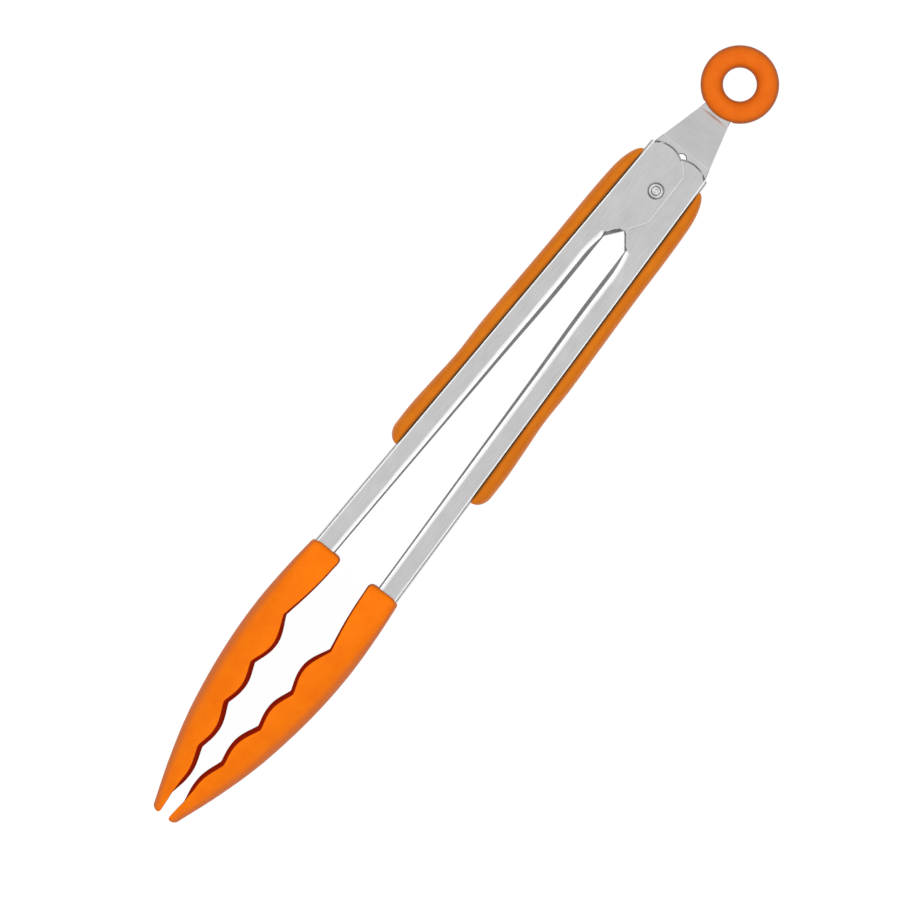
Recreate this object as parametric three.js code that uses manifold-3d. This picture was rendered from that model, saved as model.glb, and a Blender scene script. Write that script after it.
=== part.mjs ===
// Locking kitchen tongs with silicone heads, lying on their side, closed and locked.
// X runs across the two arms, Y along them with the pull ring at +Y, Z along the pivot rivet.
// Millimetres. Every piece is drawn round the pivot, at x = y = z = 0, and the last lines
// stand the whole model on Z = 0 with its middle over the origin.
// An arm and what it carries are drawn straight, as the left arm, and then turned by the
// closed angle. "Reach" is the distance from the pivot towards the tips.

import * as THREE from "three";
import { mergeVertices } from "three/addons/utils/BufferGeometryUtils.js";
import Module from "manifold-3d";

const wasm = await Module();
wasm.setup();

// ---- driving dimensions ----

const running = 0.2; // clearance between parts that slide or turn on each other
const seat = 0.3; // clearance round parts that are moulded or pressed together

const tipReach = 249.7; // pivot to the tips of the heads
const tipGap = 2.4; // left between the last lobes of the closed heads
const openAngle = 12; // degrees that each arm turns from closed to open
const lockTravel = 12.8; // how far the lock tab slides in to let the arms open

const armHalfWidth = 11.53; // pivot axis to the back of an arm
const armHalfHeight = 10.3; // middle plane to the outside of an arm's flange
const sheet = 0.6; // steel of the arms
const bend = 1.4; // outside radius of the arm's two bends
const armTop = 12; // pivot to the upper end of an arm's back
const hemHeight = 2.2; // turned-in lip along the flange's free edge
const joggleReach = [22, 34]; // where the inner arm steps out to full height

const shankRadius = 1.25;
const rivetRim = 1.5; // how far the rivet's head stands out round its shank
const rivetHeadHeight = 1.1;
const sleeveWall = 0.85;

const wire = 1.4; // spring wire diameter
const coilRoom = 0.5; // between the sleeve and the coil
const coilGap = 0.35; // between two turns
const coilTurns = 4;
const springLegReach = 24;

const tabSheet = 0.8;
const tabRoom = 0.5; // between the ears and the tab, whose edges pass inside the arms' bends
const shoulderRoom = 0.12; // between the tab's widest point and the arms' backs
const tabSkirt = 3.15; // tab below its slot
const shoulderRise = 0.5; // tab's widest point above the arms' upper ends, locked
const tabNeckHalfWidth = 5.33; // tab where it enters the ring
const foldLength = 14.5; // over which the tab's two cheeks draw together
const eyeRim = 1.4; // half the width of the tab's eye inside the ring

const ringHeight = 42.9; // pivot to the middle of the pull ring
const ringRadius = 8.8; // to the middle of its round section
const ringSection = 3.5; // radius of the round section

const gripAbove = 7.8; // grip's upper end above the pivot
const gripToHead = 38.6; // steel left bare between grip and head
const gripThickness = 4.1;
const pegShares = [0.36, 0.63, 0.89]; // places of the grip's pegs along it
const pegRadius = 2;
const pegRim = 1.2; // how far a peg's head stands out round it
const pegHeadHeight = 1.4;

const headLength = 97.9;
const headDepth = 17; // largest half height of a head, at its lips
const headSkin = 0.9; // silicone outside the core
const headLining = 1.1; // silicone between the core and the scoop
const coreThickness = 2.4;
const coreLength = 78;
const tongueLength = 34; // arm's steel tongue inside the head
const tongueHalfHeight = 6;
const studRadius = 1.8;
const studReaches = [10, 25]; // measured from the start of the head

// ---- outlines of the heads, in the straight arm's own frame ----

const headStart = tipReach - headLength;

// Shares of the head's length and distances outside the arm's back.
const headBack = [
  [0, 0.62], [0.13, 1.42], [0.27, 1.62], [0.41, 0.67],
  [0.55, -1.33], [0.7, -4.53], [0.85, -9.23], [1, -14.98],
];

// Shares of the head's length and distances of the lip from the pivot line, at the valleys.
const lipValleys = [[0, 0.95], [0.253, 3.1], [0.436, 1], [0.589, -0.68], [0.752, -3.4], [0.925, -5.2], [1, -6.15]];
const lobeHeights = [0.5, 2.75, 1.8, 1.95, 1.8, 0];
const lobeSharpness = 1.2;

// Shares of the head's length and shares of its largest half height.
const headHeights = [[0, 0.74], [0.18, 0.92], [0.4, 1], [0.6, 0.97], [0.8, 0.76], [1, 0.46]];

// A smooth function through a list of points, whose slope at each is that of its neighbours.
function curveThrough(points) {
  const slopes = points.map((_, i) => {
    const before = points[Math.max(i - 1, 0)];
    const after = points[Math.min(i + 1, points.length - 1)];
    return (after[1] - before[1]) / (after[0] - before[0]);
  });
  return (at) => {
    const last = points.length - 2;
    const i = Math.min(Math.max(points.findIndex((p) => p[0] > at) - 1, 0), last);
    const k = at >= points[last + 1][0] ? last : i;
    const span = points[k + 1][0] - points[k][0];
    const t = THREE.MathUtils.clamp((at - points[k][0]) / span, 0, 1);
    const ease = t * t * (3 - 2 * t);
    const lead = slopes[k] * span * t * (1 - t) * (1 - t);
    const trail = slopes[k + 1] * span * t * t * (t - 1);
    return points[k][1] + (points[k + 1][1] - points[k][1]) * ease + lead + trail;
  };
}

const headShare = (reach) => (reach - headStart) / headLength;
const backCurve = curveThrough(headBack);
const heightCurve = curveThrough(headHeights);
const backAt = (reach) => armHalfWidth + backCurve(headShare(reach));
const depthAt = (reach) => headDepth * heightCurve(headShare(reach));

// Lip of the head: valleys joined by rounded lobes.
function lipAt(reach) {
  const share = THREE.MathUtils.clamp(headShare(reach), 0, 1);
  const next = lipValleys.findIndex((v) => v[0] >= share && v[0] > 0);
  const [[from, low], [to, high]] = [lipValleys[next - 1], lipValleys[next]];
  const t = (share - from) / (to - from);
  const lobe = lobeHeights[next - 1] * Math.sin(Math.PI * t) ** lobeSharpness;
  return THREE.MathUtils.lerp(low, high, t) - lobe;
}

// Half the angle between the closed arms leaves tipGap between the last lobes.
const lastLobeReach = headStart + headLength * 0.86;
const closedAngle = THREE.MathUtils.radToDeg(
  Math.atan((tipGap / 2 - lipAt(lastLobeReach)) / lastLobeReach),
);

// ---- fits worked out from the driving dimensions ----

const innerArmHalfHeight = armHalfHeight - sheet - running;
const cheekOuter = innerArmHalfHeight - sheet - tabRoom;
const cheekInner = cheekOuter - tabSheet;
const webInside = armHalfWidth - sheet;
const holeRadius = shankRadius + running;
const rivetHeadRadius = shankRadius + rivetRim;
const sleeveHalfLength = cheekInner - running;
const sleeveRadius = holeRadius + sleeveWall;
const coilRadius = sleeveRadius + coilRoom + wire / 2; // to the middle of the wire
const coilPitch = wire + coilGap;
const shoulderHeight = armTop + shoulderRise;
const tabBottom = holeRadius + tabSkirt;
const tabNeckHeight = ringHeight - ringRadius - ringSection - running;
const foldHeights = [tabNeckHeight - foldLength - seat, tabNeckHeight - seat];
const eyeRadii = [ringRadius - eyeRim, ringRadius + eyeRim];
const gripEnds = [-gripAbove, headStart - gripToHead];
const pegReaches = pegShares.map((share) => THREE.MathUtils.lerp(...gripEnds, share));
const pegHeadRadius = pegRadius + pegRim;

// The lock tab's shoulder stays inside the arms' backs and bends as they all move together.
function shoulderHalfWidth() {
  const steps = 52;
  const insideBend = bend - sheet;
  const intoBend = Math.max(cheekOuter - (innerArmHalfHeight - bend), 0);
  const lost = insideBend - Math.sqrt(insideBend ** 2 - intoBend ** 2);
  let least = Infinity;
  for (let i = 0; i <= steps; i++) {
    const turn = THREE.MathUtils.degToRad(closedAngle + (openAngle * i) / steps);
    const height = shoulderHeight - (lockTravel * i) / steps;
    least = Math.min(least, (webInside - height * Math.sin(turn)) / Math.cos(turn));
  }
  return least - lost - shoulderRoom;
}

// ---- solids ----

// Mesh with shared corners, and back from a solid.
function solid(geometry) {
  const bare = geometry.index ? geometry.toNonIndexed() : geometry.clone();
  bare.deleteAttribute("normal");
  bare.deleteAttribute("uv");
  const merged = mergeVertices(bare, 1e-4);
  const corners = Array.from(merged.index.array);
  const kept = corners.filter((_, i) => {
    const [a, b, c] = corners.slice(i - (i % 3), i - (i % 3) + 3);
    return a !== b && b !== c && c !== a;
  });
  return new wasm.Manifold(
    new wasm.Mesh({
      numProp: 3,
      vertProperties: new Float32Array(merged.attributes.position.array),
      triVerts: new Uint32Array(kept),
    }),
  );
}

function geometryOf(body) {
  const mesh = body.getMesh();
  const geometry = new THREE.BufferGeometry();
  geometry.setAttribute("position", new THREE.BufferAttribute(mesh.vertProperties, 3));
  geometry.setIndex(new THREE.BufferAttribute(mesh.triVerts, 1));
  geometry.computeVertexNormals();
  return geometry;
}

const joined = (bodies) => bodies.reduce((all, body) => all.add(body));

// Outline in X and Y, pulled from one height to another.
function plate(outline, low, high, curveSegments = 12) {
  const options = { depth: high - low, bevelEnabled: false, curveSegments };
  return solid(new THREE.ExtrudeGeometry(outline, options).translate(0, 0, low));
}

function block(x0, x1, y0, y1, z0, z1) {
  const box = new THREE.BoxGeometry(x1 - x0, y1 - y0, z1 - z0);
  return solid(box.translate((x0 + x1) / 2, (y0 + y1) / 2, (z0 + z1) / 2));
}

function rod(radius, z0, z1, x = 0, y = 0, sides = 24) {
  const cylinder = new THREE.CylinderGeometry(radius, radius, z1 - z0, sides);
  return solid(cylinder.rotateX(Math.PI / 2).translate(x, y, (z0 + z1) / 2));
}

// Cylinder along X at a reach, for holes and pegs through an arm's back.
function crossRod(radius, x0, x1, reach, sides = 20) {
  const cylinder = new THREE.CylinderGeometry(radius, radius, x1 - x0, sides);
  return solid(cylinder.rotateZ(Math.PI / 2).translate((x0 + x1) / 2, -reach, 0));
}

// Closed rings of [x, z] points at rising reaches, skinned into one body.
function loft(reaches, ringAt) {
  const rings = reaches.map(ringAt);
  const count = rings[0].length;
  const positions = rings.flatMap((ring, i) => ring.flatMap(([x, z]) => [x, -reaches[i], z]));
  const faces = [];
  for (let i = 0; i + 1 < rings.length; i++) {
    for (let j = 0; j < count; j++) {
      const [a, b] = [i * count + j, i * count + ((j + 1) % count)];
      faces.push(a, b, b + count, a, b + count, a + count);
    }
  }
  const end = (rings.length - 1) * count;
  for (const [ring, base, first] of [[rings[0], 0, true], [rings.at(-1), end, false]]) {
    const contour = ring.map(([x, z]) => new THREE.Vector2(x, z));
    for (const [a, b, c] of THREE.ShapeUtils.triangulateShape(contour, [])) {
      const [p, q, r] = [base + a, base + b, base + c];
      faces.push(...(turnsLeft(contour, a, b, c) === first ? [p, r, q] : [p, q, r]));
    }
  }
  const geometry = new THREE.BufferGeometry();
  geometry.setAttribute("position", new THREE.Float32BufferAttribute(positions, 3));
  geometry.setIndex(faces);
  return solid(geometry);
}

function turnsLeft(points, a, b, c) {
  const [p, q, r] = [points[a], points[b], points[c]];
  return (q.x - p.x) * (r.y - p.y) - (q.y - p.y) * (r.x - p.x) > 0;
}

function evenSteps(from, to, count) {
  return Array.from({ length: count + 1 }, (_, i) => from + ((to - from) * i) / count);
}

// ---- arms ----

// Free edge of the flange below the notch, as a distance from the pivot line.
const flangeEdge = curveThrough([
  [21, 3.44], [44, 3.1], [70, 3.45], [headStart, 4.05],
]);

// C section in X and Z, open towards the other arm.
function channelSection(halfHeight, reachAcross) {
  const [back, middle] = [-armHalfWidth, -armHalfWidth + bend];
  const [quarter, half, insideBend] = [Math.PI / 2, Math.PI, bend - sheet];
  const section = new THREE.Shape();
  section.moveTo(reachAcross, halfHeight);
  section.absarc(middle, halfHeight - bend, bend, quarter, half, false);
  section.lineTo(back, bend - halfHeight);
  section.absarc(middle, bend - halfHeight, bend, half, 3 * quarter, false);
  section.lineTo(reachAcross, -halfHeight);
  section.lineTo(reachAcross, sheet - halfHeight);
  section.absarc(middle, bend - halfHeight, insideBend, 3 * quarter, half, true);
  section.lineTo(back + sheet, halfHeight - bend);
  section.absarc(middle, halfHeight - bend, insideBend, half, quarter, true);
  section.lineTo(reachAcross, halfHeight - sheet);
  return section;
}

// Seen along the rivet: rounded ear, notch below it, then the flange down to the head.
function armOutline() {
  const beyond = -armHalfWidth - 1;
  const outline = new THREE.Shape();
  outline.moveTo(beyond, armTop);
  outline.lineTo(-10.2, armTop + 0.3);
  outline.quadraticCurveTo(-4.2, armTop + 3.6, 0.6, armTop + 1.2);
  outline.quadraticCurveTo(4.05, armTop - 1.2, 4.15, 7.6);
  outline.lineTo(4.7, -8.9);
  outline.lineTo(0.5, -15.7);
  for (const reach of [21, 44, 70, 110, headStart - seat]) outline.lineTo(-flangeEdge(reach), -reach);
  outline.lineTo(beyond, seat - headStart);
  outline.closePath();
  return outline;
}

// The steel of one arm. heightAt gives the half height of the channel at each reach.
function armBody(heightAt) {
  const section = channelSection(armHalfHeight, 6).getPoints(5);
  const channel = loft([-armTop - 4, ...evenSteps(...joggleReach, 6), headStart], (reach) => {
    const step = heightAt(reach) - armHalfHeight;
    return section.map(({ x, y }) => [x, y + Math.sign(y) * step]);
  });
  const outline = plate(armOutline(), -2 * armHalfHeight, 2 * armHalfHeight);
  const hems = [-1, 1].map((side) =>
    loft(evenSteps(joggleReach[0], headStart - seat, 8), (reach) => {
      const edge = -flangeEdge(reach);
      const outer = side * (heightAt(reach) - sheet / 2);
      const inner = side * (heightAt(reach) - hemHeight);
      const [low, high] = [Math.min(outer, inner), Math.max(outer, inner)];
      return [[edge - sheet, low], [edge, low], [edge, high], [edge - sheet, high]];
    }),
  );
  const tongueEnd = headStart + tongueLength;
  const tongue = block(
    -armHalfWidth, -webInside, -tongueEnd, 1 - headStart, -tongueHalfHeight, tongueHalfHeight,
  );
  const pegHoles = pegReaches.map((reach) =>
    crossRod(pegRadius + seat, -armHalfWidth - 1, 1 - webInside, reach),
  );
  const studHoles = studReaches.map((reach) =>
    crossRod(studRadius + seat, -armHalfWidth - 1, 1 - webInside, headStart + reach),
  );
  const pivotHole = rod(holeRadius, -2 * armHalfHeight, 2 * armHalfHeight);
  return joined([channel.intersect(outline), ...hems, tongue])
    .subtract(joined([pivotHole, ...pegHoles, ...studHoles]));
}

const fullHeight = () => armHalfHeight;

// The inner arm is narrower round the pivot and steps out to full height below it.
function joggledHeight(reach) {
  const share = THREE.MathUtils.smoothstep(reach, ...joggleReach);
  return THREE.MathUtils.lerp(innerArmHalfHeight, armHalfHeight, share);
}

// ---- grips ----

const gripBulge = curveThrough([
  [0, 0.86], [0.15, 1], [0.32, 0.96], [0.5, 0.98], [0.62, 0.99], [0.72, 0.88], [0.82, 1], [0.9, 1.07], [1, 0.96],
]);

// Soft pad on the back of the arm, with pegs that pass through it and spread inside.
function gripBody() {
  const [start, end] = gripEnds;
  const [headEnd, toeEnd] = [11, 5];
  const backing = armHalfWidth + seat;
  const reaches = [
    ...evenSteps(0, 1, 6).map((t) => start + headEnd * (1 - Math.cos((t * Math.PI) / 2))),
    ...evenSteps(start + headEnd, end - toeEnd, 14).slice(1, -1),
    ...evenSteps(0, 1, 5).map((t) => end - toeEnd * (1 - Math.sin((t * Math.PI) / 2))),
  ];
  const roundEnd = (distance, length) => {
    const t = THREE.MathUtils.clamp(1 - distance / length, 0, 1);
    return Math.sqrt(1 - t * t);
  };
  const pad = loft(reaches, (reach) => {
    const ends = Math.min(roundEnd(reach - start, headEnd), roundEnd(end - reach, toeEnd));
    const thick = Math.max(gripThickness * gripBulge((reach - start) / (end - start)) * ends - seat, 0.3);
    const half = innerArmHalfHeight - 1.2 * (1 - ends);
    return evenSteps(0, 1, 10).map((t) => {
      const turn = Math.PI * t;
      const [across, out] = [Math.cos(turn), Math.sin(turn)];
      return [-backing - thick * out ** 0.45, half * Math.sign(across) * Math.abs(across) ** 0.7];
    });
  });
  const pegs = pegReaches.flatMap((reach) => [
    crossRod(pegRadius, -backing - 0.8, 0.5 + seat - webInside, reach),
    crossRod(pegHeadRadius, seat - webInside, seat + pegHeadHeight - webInside, reach),
  ]);
  return joined([pad, ...pegs]);
}

// ---- heads ----

// Half an arch from the middle of the back to a lip, as a cubic curve in X and Z. It is nearly
// square where it fits over the arm and grows round towards the tip.
function archHalf(back, lip, depth, round, count) {
  const width = back - lip;
  const curve = new THREE.CubicBezierCurve(
    new THREE.Vector2(-back, 0),
    new THREE.Vector2(-back, depth * THREE.MathUtils.lerp(1.15, 0.62, round)),
    new THREE.Vector2(-back + width * 0.22 * round, depth * THREE.MathUtils.lerp(0.98, 0.8, round)),
    new THREE.Vector2(-lip, depth),
  );
  return curve.getPoints(count).map((p) => [p.x, p.y]);
}

// D shaped ring: the arch, closed straight across its lips.
function archRing(back, lip, depth, round) {
  const half = archHalf(back, lip, depth, round, 6);
  const below = half.slice(1).map(([x, z]) => [x, -z]);
  return [...half.reverse(), ...below];
}

const roundAt = (reach) => THREE.MathUtils.smoothstep(headShare(reach), 0, 0.3);
const wallThickness = headSkin + 2 * seat + coreThickness + headLining;
const lipThickness = 2.4;

// The core follows the head's back, one skin inside it.
const coreReaches = evenSteps(headStart + seat, headStart + coreLength, 12);

function coreSlab(grow) {
  const reaches = grow > 0 ? [headStart - 1, ...coreReaches, coreReaches.at(-1) + grow] : coreReaches;
  return loft(reaches, (reach) => {
    const held = Math.max(reach, headStart);
    const outer = -backAt(held) + headSkin + seat - grow;
    const inner = outer + coreThickness + 2 * grow;
    const half = Math.min(tongueHalfHeight + 1, depthAt(held) * 0.5) + grow;
    return [[outer, -half * 0.8], [inner, -half], [inner, half], [outer, half * 0.8]];
  });
}

function coreBody() {
  const tongueEnd = headStart + tongueLength + seat;
  const tongueSide = seat - webInside;
  const roomForTongue = block(
    -2 * armHalfWidth, tongueSide, -tongueEnd, 1 - headStart, -headDepth, headDepth,
  );
  const studs = studReaches.map((reach) =>
    crossRod(studRadius, -armHalfWidth, 0.5 + tongueSide, headStart + reach),
  );
  return joined([coreSlab(0).subtract(roomForTongue), ...studs]);
}

function headBody() {
  const end = tipReach;
  const outside = loft(evenSteps(headStart, end, 44), (reach) => {
    const corner = Math.min((end - reach) / 1.6, 1);
    const rounding = 1 - Math.sqrt(Math.max(1 - (1 - corner) ** 2, 0));
    const [back, lip] = [backAt(reach) - rounding * 0.9, lipAt(reach) + rounding * 0.9];
    return archRing(back, lip, depthAt(reach) - rounding * 1.5, roundAt(reach));
  });
  const scoopEnds = [headStart + 3, end - 7];
  const scoop = loft(evenSteps(...scoopEnds, 22), (reach) => {
    const share = (reach - scoopEnds[0]) / (scoopEnds[1] - scoopEnds[0]);
    const fade = Math.sqrt(Math.sin(Math.PI * Math.min(Math.max(share, 0.004), 0.996)));
    const lip = lipAt(reach) - 3;
    const floor = THREE.MathUtils.lerp(lip + 3, backAt(reach) - wallThickness, Math.min(1, fade * 1.15));
    const depth = (depthAt(reach) + 1 - lipThickness) * (0.6 + 0.4 * fade);
    return archRing(Math.max(floor, lip + 2.4), lip, depth, roundAt(reach));
  });
  const tongueRoom = block(
    -armHalfWidth - seat, seat - webInside,
    -headStart - tongueLength - seat, 1 - headStart,
    -tongueHalfHeight - seat, tongueHalfHeight + seat,
  );
  return outside.subtract(scoop).subtract(joined([coreSlab(seat), tongueRoom]));
}

// ---- pivot ----

function turned(profile, sides = 24) {
  const points = profile.map(([radius, height]) => new THREE.Vector2(radius, height));
  return solid(new THREE.LatheGeometry(points, sides).rotateX(Math.PI / 2));
}

// Semi-tubular rivet: domed, dimpled head above and rolled tail below.
function rivetBody() {
  const under = armHalfHeight + running;
  const top = under + rivetHeadHeight;
  const half = [
    [0, top - 0.55], [0.7, top - 0.45], [1.3, top - 0.08], [1.7, top],
    [rivetHeadRadius - 0.45, top - 0.3], [rivetHeadRadius, under + 0.35],
    [rivetHeadRadius, under], [shankRadius, under],
  ];
  const tail = half.map(([radius, height]) => [radius, -height]);
  return turned([...tail, ...half.toReversed()]);
}

function sleeveBody() {
  const bore = rod(holeRadius, -sleeveHalfLength - 1, sleeveHalfLength + 1);
  return rod(sleeveRadius, -sleeveHalfLength, sleeveHalfLength).subtract(bore);
}

// Coil round the sleeve, its two legs running down to the backs of the arms.
class SpringPath extends THREE.Curve {
  constructor() {
    super();
    const wallAt = webInside / Math.cos(this.tilt()) + springLegReach * Math.tan(this.tilt());
    this.foot = new THREE.Vector2(wallAt - wire / 2 - seat, -springLegReach);
    this.lean = this.legLean();
    const legStart = new THREE.Vector2(Math.cos(this.lean), Math.sin(this.lean)).multiplyScalar(coilRadius);
    this.legLength = legStart.distanceTo(this.foot);
    this.turn = 2 * Math.PI * coilTurns + Math.PI - 2 * this.lean;
    this.coilLength = this.turn * coilRadius;
    this.height = (coilPitch * this.turn) / (2 * Math.PI);
  }

  tilt() {
    return THREE.MathUtils.degToRad(closedAngle);
  }

  // The leg leaves the coil along its tangent and meets the arm at the foot.
  legLean() {
    const distance = this.foot.length();
    const toFoot = Math.atan2(this.foot.y, this.foot.x);
    return toFoot + Math.acos(coilRadius / distance);
  }

  getPoint(t, target = new THREE.Vector3()) {
    const run = t * (this.coilLength + 2 * this.legLength) - this.legLength;
    const along = THREE.MathUtils.clamp(run / this.coilLength, 0, 1);
    const angle = this.lean + this.turn * along;
    const past = run < 0 ? run : Math.max(run - this.coilLength, 0);
    const [sin, cos] = [Math.sin(angle), Math.cos(angle)];
    const height = this.height * (along - 0.5);
    return target.set(coilRadius * cos - past * sin, coilRadius * sin + past * cos, height);
  }
}

function springBody() {
  const section = new THREE.Shape().absarc(0, 0, wire / 2, 0, 2 * Math.PI, false);
  const options = { steps: 88, curveSegments: 4, bevelEnabled: false, extrudePath: new SpringPath() };
  return solid(new THREE.ExtrudeGeometry(section, options));
}

// ---- lock tab and pull ring ----

// Two flat cheeks that draw together into one flat eye, seen along X.
function tabProfile(grow = 0) {
  const [straight, closed] = foldHeights;
  const top = ringHeight + eyeRadii[1] + 1;
  const half = [
    [-tabBottom, cheekInner], [straight, cheekInner], [closed - 1.5, grow],
    [-tabBottom, cheekOuter + grow], [straight, cheekOuter + grow], [closed, tabSheet + grow], [top, tabSheet + grow],
  ];
  const [inner, outer] = [half.slice(0, 3), half.slice(3)];
  const below = (points) => points.map(([y, z]) => [y, -z]);
  const ring = [
    ...outer, ...below(outer).reverse(), ...below(inner), [closed - 1.4, 0], ...inner.toReversed(),
  ];
  return new THREE.Shape(ring.map(([y, z]) => new THREE.Vector2(y, z)));
}

function tabOutline() {
  const shoulder = shoulderHalfWidth();
  const top = ringHeight - eyeRadii[0];
  const slope = (shoulder - tabNeckHalfWidth) / (tabNeckHeight - shoulderHeight);
  const topHalfWidth = tabNeckHalfWidth - slope * (top - tabNeckHeight);
  const outline = new THREE.Shape();
  outline.moveTo(topHalfWidth, top);
  outline.lineTo(-topHalfWidth, top);
  outline.lineTo(-shoulder, shoulderHeight);
  outline.lineTo(-shoulder, 2 - tabBottom);
  outline.lineTo(2 - shoulder, -tabBottom);
  outline.lineTo(shoulder - 2, -tabBottom);
  outline.lineTo(shoulder, 2 - tabBottom);
  outline.lineTo(shoulder, shoulderHeight);
  outline.closePath();
  return outline;
}

const tall = 2 * armHalfHeight;

function tabBody() {
  const profile = new THREE.ExtrudeGeometry(tabProfile(), { depth: 2 * armHalfWidth, bevelEnabled: false });
  profile.rotateY(Math.PI / 2).rotateX(Math.PI / 2).translate(-armHalfWidth, 0, 0);
  const eye = rod(eyeRadii[1], -tall, tall, 0, ringHeight, 36);
  const eyeHole = rod(eyeRadii[0], -tall, tall, 0, ringHeight, 36);
  const slot = new THREE.Shape();
  slot.absarc(0, 0, holeRadius, Math.PI, 2 * Math.PI, false);
  slot.absarc(0, lockTravel + running, holeRadius, 0, Math.PI, false);
  slot.closePath();
  const outline = plate(tabOutline(), -tall, tall).add(eye).subtract(eyeHole);
  return solid(profile).intersect(outline).subtract(plate(slot, -tall, tall));
}

function ringBody() {
  const sides = 12;
  const section = Array.from({ length: sides + 1 }, (_, i) => {
    const turn = (2 * Math.PI * i) / sides;
    return [ringRadius + ringSection * Math.cos(turn), ringSection * Math.sin(turn)];
  });
  const torus = turned(section, 32).translate(0, ringHeight, 0);
  const half = tabSheet + seat;
  const eyeRoom = rod(eyeRadii[1] + seat, -half, half, 0, ringHeight, 36)
    .subtract(rod(eyeRadii[0] - seat, -half, half, 0, ringHeight, 36));
  const neckRoom = block(
    -tabNeckHalfWidth - seat, tabNeckHalfWidth + seat, tabNeckHeight - 1, ringHeight - eyeRadii[0], -half, half,
  );
  return torus.subtract(eyeRoom).subtract(neckRoom);
}

// ---- the assembly ----

const brushedSteel = new THREE.MeshStandardMaterial({ color: 0xc2c2c2, roughness: 0.38, metalness: 1 });
const springSteel = new THREE.MeshStandardMaterial({ color: 0xa9abad, roughness: 0.3, metalness: 1 });
const silicone = new THREE.MeshStandardMaterial({ color: 0xf97a0c, roughness: 0.55, metalness: 0 });
const gripRubber = new THREE.MeshStandardMaterial({ color: 0xce7316, roughness: 0.6, metalness: 0 });
const nylon = new THREE.MeshStandardMaterial({ color: 0x5a5a5c, roughness: 0.5, metalness: 0 });

function piece(name, body, material) {
  const mesh = new THREE.Mesh(geometryOf(body), material);
  mesh.name = name;
  return mesh;
}

// One arm with its grip, core and head, turned to the closed angle. The right one is a mirror.
function armGroup(side, steel) {
  const group = new THREE.Group();
  group.add(
    piece(`arm_${side}`, steel, brushedSteel),
    piece(`grip_${side}`, gripBody(), gripRubber),
    piece(`head_core_${side}`, coreBody(), nylon),
    piece(`head_${side}`, headBody(), silicone),
  );
  group.rotation.z = -THREE.MathUtils.degToRad(closedAngle);
  const placed = new THREE.Group();
  placed.add(group);
  if (side === "right") placed.scale.x = -1;
  return placed;
}

const tongs = new THREE.Group();
tongs.add(
  armGroup("left", armBody(fullHeight)),
  armGroup("right", armBody(joggledHeight)),
  piece("pivot_rivet", rivetBody(), brushedSteel),
  piece("pivot_sleeve", sleeveBody(), brushedSteel),
  piece("torsion_spring", springBody(), springSteel),
  piece("lock_tab", tabBody(), brushedSteel),
  piece("pull_ring", ringBody(), silicone),
);

// Stand the model on Z = 0, centred in X and Y.
tongs.updateMatrixWorld(true);
const bounds = new THREE.Box3().setFromObject(tongs, true);
const middle = bounds.getCenter(new THREE.Vector3());
tongs.position.set(-middle.x, -middle.y, -bounds.min.z);

export default tongs;
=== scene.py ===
import math

import bmesh
import bpy
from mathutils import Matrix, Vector


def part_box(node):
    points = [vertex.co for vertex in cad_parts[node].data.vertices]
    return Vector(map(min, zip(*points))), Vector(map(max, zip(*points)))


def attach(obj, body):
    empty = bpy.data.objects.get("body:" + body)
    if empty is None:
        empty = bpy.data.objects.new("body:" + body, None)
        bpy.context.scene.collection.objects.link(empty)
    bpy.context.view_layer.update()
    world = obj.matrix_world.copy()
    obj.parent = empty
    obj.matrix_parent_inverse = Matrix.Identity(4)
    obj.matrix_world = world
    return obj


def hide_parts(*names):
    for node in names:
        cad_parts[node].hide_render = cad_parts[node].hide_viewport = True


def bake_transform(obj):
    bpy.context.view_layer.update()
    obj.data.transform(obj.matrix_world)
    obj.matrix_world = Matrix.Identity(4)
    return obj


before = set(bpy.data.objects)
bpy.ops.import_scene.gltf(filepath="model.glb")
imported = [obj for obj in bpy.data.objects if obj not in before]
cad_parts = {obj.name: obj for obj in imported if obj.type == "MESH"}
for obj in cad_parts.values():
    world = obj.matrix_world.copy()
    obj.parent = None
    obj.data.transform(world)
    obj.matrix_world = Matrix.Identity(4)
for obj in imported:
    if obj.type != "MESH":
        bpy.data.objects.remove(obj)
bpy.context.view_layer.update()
bpy.ops.object.select_all(action="DESELECT")

# Pieces are modelled in millimetres round the pivot, the left arm drawn straight,
# and put in their place in metres when their shape is done. Reach is the distance below
# the pivot, towards the tips.
mm = 0.001
rivetLow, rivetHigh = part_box("pivot_rivet")
pivot = (rivetLow + rivetHigh) / 2


def lerp(a, b, t):
    return a + (b - a) * t


def smoothStep(value, low, high):
    t = min(max((value - low) / (high - low), 0), 1)
    return t * t * (3 - 2 * t)


def evenSteps(start, end, count):
    return [lerp(start, end, i / count) for i in range(count + 1)]


def curveThrough(points):
    # smooth function through a list of points
    def slopeAt(i):
        before, after = points[max(i - 1, 0)], points[min(i + 1, len(points) - 1)]
        return (after[1] - before[1]) / (after[0] - before[0])

    slopes = [slopeAt(i) for i in range(len(points))]

    def valueAt(at):
        i = max([k for k in range(len(points) - 1) if points[k][0] <= at], default=0)
        (x0, y0), (x1, y1) = points[i], points[i + 1]
        span = x1 - x0
        t = min(max((at - x0) / span, 0), 1)
        rise = slopes[i] * t * (1 - t) ** 2 + slopes[i + 1] * t * t * (t - 1)
        return lerp(y0, y1, t * t * (3 - 2 * t)) + span * rise

    return valueAt


def bowPoints(start, control, end, count):
    # points of a quadratic curve, without its first
    return [
        tuple(lerp(lerp(a, b, t), lerp(b, c, t), t) for a, b, c in zip(start, control, end))
        for t in evenSteps(0, 1, count)[1:]
    ]


# Modelling

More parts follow.
